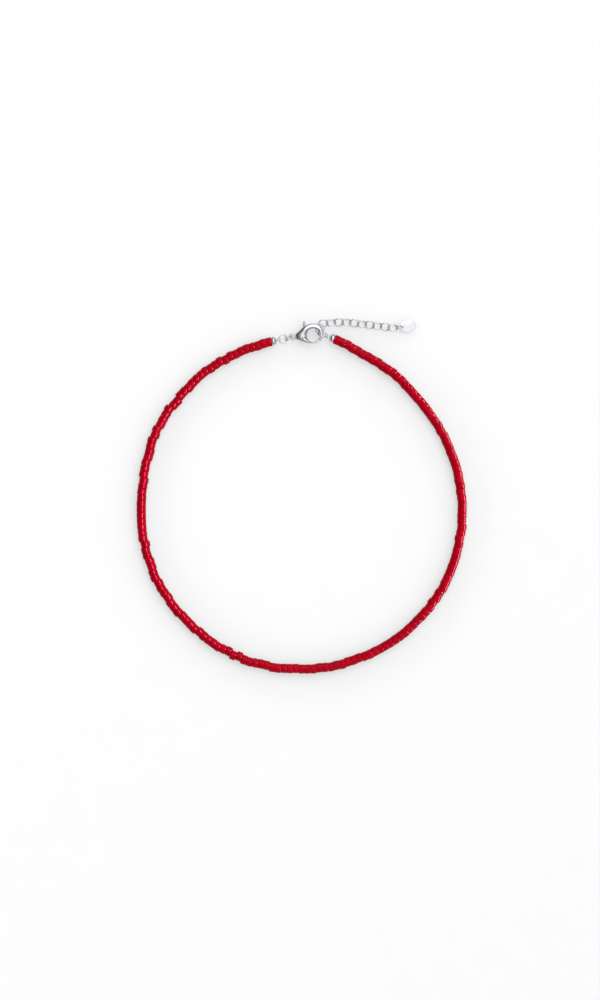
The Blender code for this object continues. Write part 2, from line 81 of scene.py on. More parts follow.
# No two beads are quite alike: shares of diameter and pitch, offsets and their limit in spreads, degrees
BEAD_SEED = 11
DIAMETER_SPREAD = 0.016
LENGTH_SPREAD = 0.006
OFFSET_SPREAD = {"left": 0.00017, "right": 0.00009}
OFFSET_LIMIT = 2.2
TILT_SPREAD = 1.1
BOX_MARGIN = 0.00005

# How the beads' seats are found: facets of the solid strand whose normals point this far up
TOP_FACET = 0.999
WELD_DISTANCE = 1e-6

# Thread through the beads
THREAD_DIAMETER = 0.00045
THREAD_SIDES = 10

# Bead tips, as in the solids
TIP_DIAMETER = 0.0031
TIP_LENGTH = 0.0018
TIP_WALL = 0.00026
TIP_LOOP_HOLE = 0.0010
TIP_LOOP_WIRE = 0.0004
TIP_SIDES = 48
TIP_HEADING = {"left": 14.0, "right": 155.0}
TIP_LOOP_ROLL = {"left": 90.0, "right": 0.0}
TIP_OUTSIDE = [
    (1.0, 0.0), (0.985, 0.22), (0.93, 0.45), (0.82, 0.68), (0.66, 0.86), (0.50, 0.96),
    (0.42, 0.985), (0.33, 0.985), (0.22, 0.955), (0.03, 0.875), (0.0, 0.86),
]
TIP_INSIDE = [(0.0, 0.88), (0.36, 0.88), (0.52, 0.76), (0.64, 0.46), (0.68, 0.0)]

# Rings and links: round wire with a cut, past the solids' flat sides by a share of the flats' depth
RING_SEGMENTS = 72
WIRE_SIDES = 16
WIRE_SMOOTH_ANGLE = 60.0
CUT_WIDTH = 0.00004
CAD_WIRE_SIDES = 6
FLAT_SHARE = 0.9
JUMP_RINGS = ["jump_ring_left", "jump_ring_clasp", "jump_ring_right"]
LINKS = ["extender_link_%02d" % number for number in range(1, 12)] + ["tag_link"]

# End tag
TAG_HOLE = 0.0011
TAG_HOLE_INSET = 0.00095
TAG_SIDES = 96
TAG_RIM = [
    (-1.0, 0.925), (-0.9, 0.965), (-0.55, 0.992), (0.0, 1.0), (0.55, 0.992), (0.9, 0.965), (1.0, 0.925),
]

# Lobster clasp, as in the solids
CLASP_WIDTH = 0.0070
CLASP_THICKNESS = 0.0030
CLASP_HOLE = 0.00456
CLASP_REACH = 0.0072
CLASP_HEADING = 10.0
CLASP_SLOPE = 4.0
CLASP_STATIONS = 150
EYE_DIAMETER = 0.0024
EYE_HOLE = 0.0012
EYE_THICKNESS = 0.0010
EYE_SIDES = 20
EYE_BEARING = 174.7
SLOT_WIDTH = 0.0011
RUNNING_GAP = 0.00012
RIVET_DIAMETER = 0.0007
RIVET_GAP = 0.00007
BOSS_WALL = 0.00053
GATE_THICKNESS = 0.0016
GATE_STATIONS = 60
KNOB_REACH = 0.0060
KNOB_WIDTH = 0.00076
KNOB_BEARING = 78.0
KNOB_SIDES = 24
ROUND_SIDES = 40
CUT_THROUGH = 2.0

# Claw: bearing, outer and inner radius and height as shares of half the clasp's width, hole and thickness
CLAW_TABLE = [
    (-52, 0.91, 1.11, 0.50), (-42, 0.93, 1.09, 0.54), (-30, 0.98, 1.04, 0.56),
    (-15, 1.03, 1.00, 0.57), (13, 1.07, 1.00, 0.58), (29, 1.15, 1.00, 0.60),
    (53, 1.18, 1.00, 0.62), (80, 1.18, 1.00, 0.68), (106, 1.20, 1.00, 0.80),
    (128, 1.31, 1.00, 0.92), (151, 1.47, 1.00, 1.00), (168, 1.80, 1.00, 1.00),
    (182, 1.80, 1.00, 1.00), (192, 1.46, 1.00, 1.00), (207, 1.17, 1.00, 0.95),
    (230, 0.94, 1.00, 0.80), (244, 0.85, 1.00, 0.62),
]

# Across one section of the claw: share of the way outward, share of the half height
CLAW_SECTION = [
    (0.0, 0.0), (0.0, 0.20), (0.005, 0.38), (0.03, 0.52), (0.10, 0.66), (0.20, 0.82),
    (0.30, 0.94), (0.36, 0.985), (0.42, 1.00), (0.50, 0.985), (0.62, 0.93), (0.74, 0.84),
    (0.85, 0.71), (0.93, 0.55), (0.98, 0.34), (1.0, 0.0),
]

# Arm and gate: bearing, both radii as shares of half the clasp's hole, height of half the gate's thickness
GATE_TABLE = [
    (198, 1.55, 1.18, 0.54), (215, 1.42, 1.08, 0.54), (230, 1.32, 1.04, 0.54),
    (246, 1.28, 1.02, 0.54), (251, 1.28, 1.01, 1.00), (272, 1.28, 1.00, 1.00),
    (290, 1.27, 0.96, 1.00), (297, 1.22, 0.91, 0.98), (303, 1.06, 0.86, 0.96),
    (318, 1.04, 0.80, 0.90),
]
GATE_SECTION = [
    (0.0, 0.0), (0.0, 0.50), (0.04, 0.76), (0.12, 0.92), (0.26, 1.00), (0.74, 1.00),
    (0.88, 0.92), (0.96, 0.76), (1.0, 0.50), (1.0, 0.0),
]

# Slot and pivot as shares of half the clasp's width
SLOT_OUTLINE = [
    (-1.47, -0.90), (-1.36, -0.07), (-1.41, 0.70), (-1.52, 1.40), (-0.35, 1.60),
    (-0.50, 0.70), (-0.34, 0.43), (0.30, 0.0), (0.30, -1.10),
]
PIVOT_SHARE = (-1.0, -0.13)

# Thumb knob: shares of its reach, its width and the arm's thickness
KNOB_TABLE = [
    (0.0, 1.5, 1.0), (0.40, 1.34, 1.0), (0.62, 1.2, 1.0), (0.72, 1.05, 1.05), (0.76, 1.0, 1.1),
    (0.80, 1.0, 1.6), (0.84, 1.0, 1.75), (0.93, 1.0, 1.8), (0.97, 0.92, 1.65), (1.0, 0.7, 1.3),
]

# Rivet: shares of half its length, of half its diameter
RIVET_TABLE = [
    (-1.0, 0.0), (-0.99, 0.5), (-0.95, 0.85), (-0.90, 1.0), (0.90, 1.0), (0.95, 0.85), (0.99, 0.5),
    (1.0, 0.0),
]
SMOOTH_ANGLE = 32.0

# Finishes: noise as scale and detail, ramps as position and colour, bumps as strength and distance
NOISE_MIDDLE = (0.3, 0.7)
CORAL_REDS = [
    (0.0, (0.41, 0.0002, 0.006)), (0.55, (0.45, 0.0003, 0.008)), (1.0, (0.50, 0.0006, 0.011)),
]
CORAL_CLOUD_NOISE = (520.0, 4.0)
CORAL_CLOUDS = [(0.35, (0.80, 0.6, 0.6)), (0.65, (1.0, 1.0, 1.0))]
CORAL_CLOUD_SHARE = 0.35
CORAL_ROUGH_NOISE = (2600.0, 3.0)
CORAL_ROUGHNESS = (0.07, 0.14)
CORAL_PIT_NOISE = (3800.0, 5.0)
CORAL_PITS = (0.06, 0.00003)
CORAL_TINT = (1.0, 0.08, 0.20, 1.0)

# The coral's gloss goes from head-on to grazing, where the streak lights would glare
CORAL_GLOSS = [(0.34, (0.5, 0.5, 0.5)), (0.60, (0.0, 0.0, 0.0))]

# The light that coral throws on other things is nearly grey, as the photo's floor has no red
BOUNCED_CORAL = (0.12, 0.10, 0.10)

THREAD_NOISE = (5200.0, 5.0)
THREAD_REDS = [(0.3, (0.16, 0.003, 0.006)), (0.7, (0.34, 0.008, 0.014))]
THREAD_ROUGH_NOISE = (4000.0, 3.0)
THREAD_ROUGHNESS = (0.55, 0.8)
THREAD_TWIST_NOISE = (6200.0, 4.0)
THREAD_TWIST = (0.4, 0.00006)

# Plating: name, bright and dull colour, least and most roughness, strength of the scratches
SILVERS = [
    ("silver_cast", (0.86, 0.86, 0.88), (0.78, 0.78, 0.81), (0.05, 0.11), 0.04),
    ("silver_wire", (0.84, 0.84, 0.86), (0.74, 0.74, 0.77), (0.08, 0.16), 0.06),
    ("silver_plate", (0.92, 0.92, 0.95), (0.87, 0.87, 0.91), (0.10, 0.18), 0.05),
]
SILVER_DULL_NOISE = (700.0, 5.0)
SILVER_DULL_RANGE = (0.32, 0.62)
SILVER_ROUGH_NOISE = (1900.0, 4.0)
SILVER_SCRATCH_NOISE = (5200.0, 6.0)
SCRATCH_DEPTH = 0.00003

# Floor: its own light, and its darker colour in mirror rays, which outlines the silver
FLOOR_SIZE = 6.0
FLOOR_NOISE = (90.0, 6.0)
FLOOR_WHITES = [(0.3, (0.505, 0.505, 0.508)), (0.7, (0.512, 0.512, 0.512))]
FLOOR_ROUGH_NOISE = (60.0, 3.0)
FLOOR_ROUGHNESS = (0.90, 0.96)
FLOOR_GLOW = 0.39
MIRRORED_FLOOR = (0.23, 0.23, 0.26)

# Camera straight above the loop, with the photo's framing
CAMERA_AIM = Vector((-0.00058, -0.00136, 0.0016))
VIEW_HEIGHT = 0.350
CAMERA_DISTANCE = 1.60
CAMERA_CLIP = 20.0
SENSOR = 36.0

# Levels of the walls along X, for light; then what polished metal mirrors, along Z and X
WALL_LEVELS = [(-1.0, 0.12), (-0.3, 0.52), (0.0, 0.86), (1.0, 1.46)]
MIRRORED_HEIGHTS = [
    (-0.05, 0.50), (0.06, 0.25), (0.34, 0.20), (0.52, 0.50), (0.76, 0.94), (0.90, 0.97),
]
MIRRORED_SIDES = [(-0.80, 0.12), (-0.50, 0.32), (-0.15, 0.95), (0.0, 1.0)]
MIRRORED_GLOOM = (0.020, 0.020, 0.040)

# A broad light above, behind the clasp
TOP_BOX_SPOT = (0.10, 0.80, 1.00)
TOP_BOX_SIZE = (0.9, 0.9)
TOP_BOX_POWER = 3.6

# A strip of light for each strand's streaks: slant to the right, sizes along and across it, watts
STREAK_REACH = 1.4
STREAKS = {"left": (28.0, (1.5, 0.26), 52.0), "right": (76.0, (2.3, 0.28), 84.0)}

# A ring of low lights that only the floor sees, stronger towards the back left
LOW_BOXES = 8
LOW_BOX_REACH = 1.5
LOW_BOX_HEIGHT = 0.36
LOW_BOX_SIZE = (1.2, 0.36)
LOW_BOX_POWER = 3.55
LOW_BOX_TILT = Vector((-0.6, 0.38, 0))


def bearing(degrees, length=1.0):
    angle = math.radians(degrees)
    return Vector((length * math.cos(angle), length * math.sin(angle), 0.0))


def placement(middle, heading, slope=0.0, roll=0.0):
    """Local X points along the heading and up the slope; a roll lifts local +Y."""
    turn = Matrix.Rotation(math.radians(heading), 4, "Z")
    rise = Matrix.Rotation(-math.radians(slope), 4, "Y")
    lean = Matrix.Rotation(math.radians(roll), 4, "X")
    return Matrix.Translation(middle) @ turn @ rise @ lean


def mesh_object(name, build, finish, smooth_angle=SMOOTH_ANGLE):
    """A new object whose mesh is closed and faces outward."""
    bmesh.ops.recalc_face_normals(build, faces=build.faces[:])
    mesh = bpy.data.meshes.new(name)
    build.to_mesh(mesh)
    build.free()
    mesh.shade_smooth()
    mesh.set_sharp_from_angle(angle=math.radians(smooth_angle))
    mesh.materials.append(finish)
    item = bpy.data.objects.new(name, mesh)
    bpy.context.scene.collection.objects.link(item)
    return item


def dress(item, body, slot, *nodes):
    """The piece, laid out along the frame's axes, rides on the body and stands for the nodes."""
    item.data.transform(item.matrix_world)
    item.matrix_world = Matrix()
    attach(item, body)
    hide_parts(*nodes)
    return item


def skin(build, loops, closed=False):
    """Faces between loops of equal length, with flat ends unless it closes on itself."""
    rows = [[build.verts.new(point) for point in loop] for loop in loops]
    count = len(rows[0])
    pairs = list(zip(rows, rows[1:]))
    if closed:
        pairs.append((rows[-1], rows[0]))
    for first, second in pairs:
        for place in range(count):
            after = (place + 1) % count
            build.faces.new((first[place], first[after], second[after], second[place]))
    if not closed:
        build.faces.new(rows[0][::-1])
        build.faces.new(rows[-1])


def turned(build, profile, sides):
    """A closed turned body about local X from an open profile of (x, radius) points."""
    start = build.verts.new((profile[0][0], 0, 0))
    rows = []
    for x, radius in profile[1:-1]:
        row = []
        for side in range(sides):
            turn = 2 * math.pi * (side + 0.5) / sides
            row.append(build.verts.new((x, radius * math.cos(turn), radius * math.sin(turn))))
        rows.append(row)
    end = build.verts.new((profile[-1][0], 0, 0))
    for side in range(sides):
        after = (side + 1) % sides
        build.faces.new((start, rows[0][side], rows[0][after]))
        build.faces.new((end, rows[-1][after], rows[-1][side]))
        for first, second in zip(rows, rows[1:]):
            build.faces.new((first[side], second[side], second[after], first[after]))


def prism(build, outline, height):
    skin(build, [[Vector((x, y, z)) for x, y in outline] for z in (-height / 2, height / 2)])


def rod(build, middle, radius, height, sides=ROUND_SIDES):
    spots = [middle + bearing(360.0 * (side + 0.5) / sides, radius) for side in range(sides)]
    prism(build, [(spot.x, spot.y) for spot in spots], height)


def combine(item, other, operation):
    """Applies one Boolean between two objects and removes the second."""
    step = item.modifiers.new(operation.lower(), "BOOLEAN")
    step.operation = operation
    step.solver = "EXACT"
    step.object = other
    bpy.context.view_layer.update()
    result = bpy.data.meshes.new_from_object(item.evaluated_get(bpy.context.evaluated_depsgraph_get()))
    item.modifiers.remove(step)
    item.data = result
    result.set_sharp_from_angle(angle=math.radians(SMOOTH_ANGLE))
    bpy.data.objects.remove(other, do_unlink=True)


def ring_loops(length, width, wire, height=None, sides=WIRE_SIDES, segments=RING_SEGMENTS, cut=0.0):
    """Wire sections around an oval ring in its local XY plane, less a cut on its +Y side."""
    height = height or wire
    cut_angle = cut / ((width - wire) / 2)
    sections = segments + 1 if cut else segments
    loops = []
    for section in range(sections):
        angle = math.pi / 2 + cut_angle / 2 + (2 * math.pi - cut_angle) * section / segments
        ahead, aside = math.cos(angle), math.sin(angle)
        along = Vector(((length - wire) / 2 * ahead, (width - wire) / 2 * aside, 0))
        outward = Vector(((width - wire) * ahead, (length - wire) * aside, 0)).normalized()
        loop = []
        for side in range(sides):
            turn = 2 * math.pi * (side + 0.5) / sides
            across = outward * wire / 2 * math.cos(turn)
            loop.append(along + across + Vector((0, 0, height / 2 * math.sin(turn))))
        loops.append(loop)
    return loops


def measured(name):
    """A node's own frame at its middle, and its extents along it, the widest spread first."""
    points = np.array([vertex.co[:] for vertex in frame["nodes"][name].data.vertices])
    points = np.unique(points.round(7), axis=0)
    spread = points - points.mean(axis=0)
    axes = np.linalg.eigh(spread.T @ spread)[1][:, ::-1]
    if axes[0, 0] < 0:
        axes[:, 0] *= -1
    if axes[2, 2] < 0:
        axes[:, 2] *= -1
    axes[:, 1] = np.cross(axes[:, 2], axes[:, 0])
    shares = points @ axes
    low, high = shares.min(axis=0), shares.max(axis=0)
    matrix = Matrix(axes.tolist()).to_4x4()
    matrix.translation = Vector(axes @ ((low + high) / 2))
    return matrix, high - low


def wire_ring(name, finish):
    """A round wire bent shut, in place of a ring or link of the solids."""
    matrix, (length, width, wire) = measured(name)
    flat = wire * (1 - math.cos(math.pi / CAD_WIRE_SIDES))
    reach = FLAT_SHARE * flat
    build = bmesh.new()
    skin(build, ring_loops(length + reach, width + reach, wire, cut=CUT_WIDTH))
    item = mesh_object(name + "_wire", build, finish, WIRE_SMOOTH_ANGLE)
    item.matrix_world = matrix
    return dress(item, "necklace", "silver", name)


def bead_seats(node):
    """Middle and direction of each bead, from the flat facets on top of the strand's solid."""
    build = bmesh.new()
    build.from_mesh(frame["nodes"][node].data)
    bmesh.ops.remove_doubles(build, verts=build.verts[:], dist=WELD_DISTANCE)
    middles = []
    for edge in build.edges:
        if len(edge.link_faces) == 2 and all(face.normal.z > TOP_FACET for face in edge.link_faces):
            middles.append((edge.verts[0].co + edge.verts[1].co) / 2)
    build.free()
    middles.sort(key=lambda spot: math.atan2(abs(spot.x), -spot.y))
    seats = []
    for number, middle in enumerate(middles):
        before = middles[max(number - 1, 0)]
        after = middles[min(number + 1, len(middles) - 1)]
        seats.append((Vector((middle.x, middle.y, 0)), (after - before).normalized()))
    return seats


def bead_profile(diameter, length):
    """Closed outline of a drilled bead as (x, radius), clockwise from the left rim."""
    radius = diameter / 2
    flat = length / 2 - BEAD_RIM
    outline = []
    for step in range(RIM_STEPS + 1):
        turn = math.pi / 2 * step / RIM_STEPS
        height = radius - BEAD_BARREL - BEAD_RIM * (1 - math.sin(turn))
        outline.append((-flat - BEAD_RIM * math.cos(turn), height))
    outline.append((0.0, radius))
    outline += [(-x, height) for x, height in reversed(outline[:-1])]
    hole = BEAD_HOLE / 2
    right = [(length / 2, hole + BEAD_COUNTERSINK), (length / 2 - BEAD_COUNTERSINK, hole)]
    return outline + right + [(-x, height) for x, height in reversed(right)]


def bead_strand(side, seats, finish):
    """All the beads of one strand as one piece, in place of its solid."""
    draw = random.Random(BEAD_SEED + len(side))
    pitch = (seats[1][0] - seats[0][0]).length
    points, faces, tones = [], [], []
    for middle, ahead in seats:
        diameter = BEAD_DIAMETER * (1 + draw.gauss(0, DIAMETER_SPREAD))
        length = pitch * (1 + BEAD_OVERLAP - abs(draw.gauss(0, LENGTH_SPREAD)))
        tone = draw.random()
        aside = Vector((ahead.y, -ahead.x, 0))
        offset = max(-OFFSET_LIMIT, min(OFFSET_LIMIT, draw.gauss(0, 1.0))) * OFFSET_SPREAD[side]
        heading = math.degrees(math.atan2(ahead.y, ahead.x)) + draw.gauss(0, TILT_SPREAD)
        spot = middle + aside * offset
        for axis in (0, 1):
            reach = diameter / 2 + BOX_MARGIN
            spot[axis] = min(max(spot[axis], CAD_BOX[0][axis] + reach), CAD_BOX[1][axis] - reach)
        spot.z = diameter / 2
        matrix = placement(spot, heading, 0.0, draw.uniform(0, 360))
        profile = bead_profile(diameter, length)
        start = len(points)
        for x, radius in profile:
            for step in range(BEAD_SIDES):
                turn = 2 * math.pi * step / BEAD_SIDES
                points.append(matrix @ Vector((x, radius * math.cos(turn), radius * math.sin(turn))))
        tones += [tone] * (len(points) - start)
        for row in range(len(profile)):
            below = start + row * BEAD_SIDES
            above = start + (row + 1) % len(profile) * BEAD_SIDES
            for step in range(BEAD_SIDES):
                after = (step + 1) % BEAD_SIDES
                faces.append((below + step, below + after, above + after, above + step))
    mesh = bpy.data.meshes.new("beads_" + side)
    mesh.from_pydata(points, [], faces)
    mesh.shade_smooth()
    mesh.set_sharp_from_angle(angle=math.radians(BEAD_SMOOTH_ANGLE))
    mesh.attributes.new("bead_tone", "FLOAT", "POINT").data.foreach_set("value", tones)
    mesh.materials.append(finish)
    item = bpy.data.objects.new("beads_" + side, mesh)
    bpy.context.scene.collection.objects.link(item)
    return dress(item, "necklace", "coral", "bead_strand_" + side)


def bead_thread(side, seats, finish):
    """The thread inside the beads, which the solids leave out."""
    build = bmesh.new()
    turns = [2 * math.pi * step / THREAD_SIDES for step in range(THREAD_SIDES)]
    loops = []
    for middle, ahead in seats:
        spot = middle + Vector((0, 0, BEAD_DIAMETER / 2))
        aside = Vector((ahead.y, -ahead.x, 0)) * THREAD_DIAMETER / 2
        rise = Vector((0, 0, THREAD_DIAMETER / 2))
        loops.append([spot + aside * math.cos(turn) + rise * math.sin(turn) for turn in turns])
    skin(build, loops)
    item = mesh_object("thread_" + side, build, finish)
    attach(item, "necklace")


def bead_tip(side, seats, finish):
    """The turned cup over the end of a strand, with its wire loop."""
    last, ahead = seats[-1]
    pitch = (seats[-1][0] - seats[-2][0]).length
    cad_low, cad_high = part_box("bead_strand_" + side)
    mouth = last + ahead * pitch / 2
    mouth.z = (cad_low.z + cad_high.z) / 2
    outer = TIP_DIAMETER / 2
    profile = [(x * TIP_LENGTH, share * outer) for x, share in TIP_OUTSIDE]
    profile += [(x * TIP_LENGTH, share * (outer - TIP_WALL)) for x, share in TIP_INSIDE]
    build = bmesh.new()
    turned(build, profile, TIP_SIDES)
    item = mesh_object("bead_tip_%s_cup" % side, build, finish)
    size = TIP_LOOP_HOLE + 2 * TIP_LOOP_WIRE
    build = bmesh.new()
    skin(build, ring_loops(size, size, TIP_LOOP_WIRE, segments=ROUND_SIDES), closed=True)
    loop = mesh_object("loop", build, finish)
    offset = TIP_LENGTH + TIP_LOOP_HOLE / 2 + TIP_LOOP_WIRE / 2
    loop.matrix_world = placement(Vector((offset, 0, 0)), 0, 0, TIP_LOOP_ROLL[side])
    combine(item, loop, "UNION")
    item.matrix_world = placement(mouth, TIP_HEADING[side])
    return dress(item, "necklace", "silver", "bead_tip_" + side)


def end_tag(finish):
    """The oval plate with a rounded rim and its hole towards the chain."""
    matrix, (length, width, thickness) = measured("end_tag")
    build = bmesh.new()
    loops = []
    spots = [bearing(360.0 * side / TAG_SIDES) for side in range(TAG_SIDES)]
    for height, size in TAG_RIM:
        rise = height * thickness / 2
        loops.append([Vector((length / 2 * size * spot.x, width / 2 * size * spot.y, rise))
                      for spot in spots])
    skin(build, loops)
    item = mesh_object("end_tag_plate", build, finish)
    build = bmesh.new()
    rod(build, Vector((TAG_HOLE_INSET - length / 2, 0, 0)), TAG_HOLE / 2, thickness * CUT_THROUGH)
    combine(item, mesh_object("tag_hole", build, None), "DIFFERENCE")
    item.matrix_world = matrix
    return dress(item, "necklace", "silver", "end_tag")


def blended(table, angle):
    """A row of the table at an angle, read along a smooth curve through its rows."""
    place = 0
    while place < len(table) - 2 and table[place + 1][0] <= angle:
        place += 1
    first = table[max(place - 1, 0)]
    start, end = table[place], table[place + 1]
    last = table[min(place + 2, len(table) - 1)]
    span = end[0] - start[0]
    share = min(max((angle - start[0]) / span, 0.0), 1.0)
    row = []
    for column in range(1, len(start)):
        lead = (end[column] - first[column]) / (end[0] - first[0]) * span
        trail = (last[column] - start[column]) / (last[0] - start[0]) * span
        step = end[column] - start[column]
        if lead * step <= 0:
            lead = 0.0
        if trail * step <= 0:
            trail = 0.0
        # a slope of up to three times the step keeps the curve between its rows
        lead = math.copysign(min(abs(lead), 3 * abs(step)), step)
        trail = math.copysign(min(abs(trail), 3 * abs(step)), step)
        curve = share * share * (3 - 2 * share) * step
        curve += share * (1 - share) * ((1 - share) * lead - share * trail)
        row.append(start[column] + curve)
    return row


def arc_loop(angle, outer, inner, half_height, section):
    """One closed section, standing on the ray at this bearing from the hole's middle."""
    ray = bearing(angle)
    top = [(ray * (inner + (outer - inner) * share), half_height * rise) for share, rise in section]
    upper = [spot + Vector((0, 0, rise)) for spot, rise in top]
    lower = [spot - Vector((0, 0, rise)) for spot, rise in reversed(top[1:-1])]
    return upper + lower


def swept(build, table, stations, outer_unit, inner_unit, height_unit, section, origin):
    """A section carried round the hole along the table's bearings, with flat ends."""
    start, end = table[0][0], table[-1][0]
    loops = []
    for station in range(stations):
        angle = start + (end - start) * station / (stations - 1)
        outer, inner, height = blended(table, angle)
        loop = arc_loop(angle, outer * outer_unit, inner * inner_unit, height * height_unit, section)
        loops.append([point - origin for point in loop])
    skin(build, loops)


def clasp_pivot():
    return Vector((PIVOT_SHARE[0] * CLASP_WIDTH / 2, PIVOT_SHARE[1] * CLASP_WIDTH / 2, 0))


def clasp_matrix():
    """The clasp's frame at the middle of its hole, from where its lever's hinge is."""
    turn = placement(Vector(), CLASP_HEADING, CLASP_SLOPE)
    hinge = Vector(frame["joints"][0]["pos_m"])
    return Matrix.Translation(hinge - turn @ clasp_pivot()) @ turn


def clasp_body(matrix, finish):
    """Claw with its slot, rivet hole and eye."""
    build = bmesh.new()
    swept(build, CLAW_TABLE, CLASP_STATIONS, CLASP_WIDTH / 2, CLASP_HOLE / 2, CLASP_THICKNESS / 2,
          CLAW_SECTION, Vector())
    item = mesh_object("clasp_body_claw", build, finish)

    build = bmesh.new()
    wall = (EYE_DIAMETER - EYE_HOLE) / 2
    loops = ring_loops(EYE_DIAMETER, EYE_DIAMETER, wall, EYE_THICKNESS, EYE_SIDES, ROUND_SIDES)
    skin(build, loops, closed=True)
    eye = mesh_object("eye", build, finish)
    eye.matrix_world = Matrix.Translation(bearing(EYE_BEARING, CLASP_REACH))
    combine(item, eye, "UNION")

    build = bmesh.new()
    prism(build, [(x * CLASP_WIDTH / 2, y * CLASP_WIDTH / 2) for x, y in SLOT_OUTLINE], SLOT_WIDTH)
    combine(item, mesh_object("slot", build, None), "DIFFERENCE")

    build = bmesh.new()
    rod(build, clasp_pivot(), RIVET_DIAMETER / 2 + RIVET_GAP, CLASP_THICKNESS * CUT_THROUGH)
    combine(item, mesh_object("rivet_hole", build, None), "DIFFERENCE")
    item.matrix_world = matrix
    return dress(item, "necklace", "silver", "clasp_body")


def clasp_rivet(matrix, finish):
    profile = [(x * CLASP_THICKNESS / 2, share * RIVET_DIAMETER / 2) for x, share in RIVET_TABLE]
    build = bmesh.new()
    turned(build, profile, ROUND_SIDES)
    item = mesh_object("clasp_rivet_pin", build, finish)
    upright = Matrix.Rotation(-math.pi / 2, 4, "Y")
    item.matrix_world = matrix @ Matrix.Translation(clasp_pivot()) @ upright
    return dress(item, "necklace", "silver", "clasp_rivet")


def clasp_lever(matrix, finish):
    """Arm, gate and thumb knob in one piece."""
    arm_thickness = SLOT_WIDTH - 2 * RUNNING_GAP
    build = bmesh.new()
    swept(build, GATE_TABLE, GATE_STATIONS, CLASP_HOLE / 2, CLASP_HOLE / 2, GATE_THICKNESS / 2,
          GATE_SECTION, clasp_pivot())
    item = mesh_object("clasp_lever_gate", build, finish)

    build = bmesh.new()
    rod(build, Vector(), RIVET_DIAMETER / 2 + RIVET_GAP + BOSS_WALL, arm_thickness)
    combine(item, mesh_object("boss", build, finish), "UNION")

    build = bmesh.new()
    turns = [2 * math.pi * (side + 0.5) / KNOB_SIDES for side in range(KNOB_SIDES)]
    loops = []
    for share, width, height in KNOB_TABLE:
        spot = Vector((share * KNOB_REACH, 0, 0))
        loops.append([spot + Vector((0, width * KNOB_WIDTH / 2 * math.cos(turn),
                                     height * arm_thickness / 2 * math.sin(turn))) for turn in turns])
    skin(build, loops)
    knob = mesh_object("knob", build, finish)
    knob.matrix_world = placement(Vector(), KNOB_BEARING)
    combine(item, knob, "UNION")

    build = bmesh.new()
    rod(build, Vector(), RIVET_DIAMETER / 2 + RIVET_GAP, GATE_THICKNESS * CUT_THROUGH)
    combine(item, mesh_object("lever_hole", build, None), "DIFFERENCE")
    item.matrix_world = matrix @ Matrix.Translation(clasp_pivot())
    return dress(item, "lever", "silver", "clasp_lever")


class Finish:
    """A material's node tree, with short ways to add and join its nodes."""

    def __init__(self, name):
        self.material = bpy.data.materials.new(name)
        self.material.use_nodes = True
        self.tree = self.material.node_tree
        self.shader = self.tree.nodes["Principled BSDF"]
        self.place = self.add("ShaderNodeTexCoord").outputs["Object"]

    def add(self, kind, **settings):
        node = self.tree.nodes.new(kind)
        for key, value in settings.items():
            setattr(node, key, value)
        return node

    def join(self, output, socket):
        self.tree.links.new(output, socket)

    def noise(self, scale, detail):
        node = self.add("ShaderNodeTexNoise")
        node.inputs["Scale"].default_value = scale
        node.inputs["Detail"].default_value = detail
        self.join(self.place, node.inputs["Vector"])
        return node.outputs["Fac"]

    def ramp(self, factor, stops):
        """A colour ramp with stops of (position, colour)."""
        node = self.add("ShaderNodeValToRGB")
        elements = node.color_ramp.elements
        while len(elements) < len(stops):
            elements.new(0.5)
        for element, (position, colour) in zip(elements, stops):
            element.position = position
            element.color = (*colour, 1.0)
        self.join(factor, node.inputs["Fac"])
        return node.outputs["Color"]

    def spread(self, factor, low, high):
        """The factor's middle range mapped to low and high."""
        node = self.add("ShaderNodeMapRange")
        node.inputs["From Min"].default_value = NOISE_MIDDLE[0]
        node.inputs["From Max"].default_value = NOISE_MIDDLE[1]
        node.inputs["To Min"].default_value = low
        node.inputs["To Max"].default_value = high
        self.join(factor, node.inputs["Value"])
        return node.outputs["Result"]

    def mix(self, factor, first, second, blend="MIX"):
        node = self.add("ShaderNodeMix", data_type="RGBA", blend_type=blend)
        sockets = (node.inputs[0], node.inputs[6], node.inputs[7])
        for value, socket in zip((factor, first, second), sockets):
            if isinstance(value, bpy.types.NodeSocket):
                self.join(value, socket)
            elif isinstance(value, tuple):
                socket.default_value = (*value, 1.0)
            else:
                socket.default_value = value
        return node.outputs[2]

    def bump(self, height, strength, distance):
        node = self.add("ShaderNodeBump")
        node.inputs["Strength"].default_value = strength
        node.inputs["Distance"].default_value = distance
        self.join(height, node.inputs["Height"])
        self.join(node.outputs["Normal"], self.shader.inputs["Normal"])


def coral_finish():
    """Polished opaque coral: each bead its own depth of red, faintly clouded and pitted."""
    finish = Finish("coral")
    tone = finish.add("ShaderNodeAttribute", attribute_name="bead_tone").outputs["Fac"]
    bead_red = finish.ramp(tone, CORAL_REDS)
    cloud = finish.ramp(finish.noise(*CORAL_CLOUD_NOISE), CORAL_CLOUDS)
    bounced = finish.add("ShaderNodeLightPath").outputs["Is Diffuse Ray"]
    clouded = finish.mix(CORAL_CLOUD_SHARE, bead_red, cloud, "MULTIPLY")
    finish.join(finish.mix(bounced, clouded, BOUNCED_CORAL), finish.shader.inputs["Base Color"])
    patches = finish.spread(finish.noise(*CORAL_ROUGH_NOISE), *CORAL_ROUGHNESS)
    finish.join(patches, finish.shader.inputs["Roughness"])
    finish.bump(finish.noise(*CORAL_PIT_NOISE), *CORAL_PITS)
    facing = finish.add("ShaderNodeLayerWeight").outputs["Facing"]
    gloss = finish.ramp(facing, CORAL_GLOSS)
    finish.join(gloss, finish.shader.inputs["Specular IOR Level"])
    finish.shader.inputs["Specular Tint"].default_value = CORAL_TINT
    return finish.material


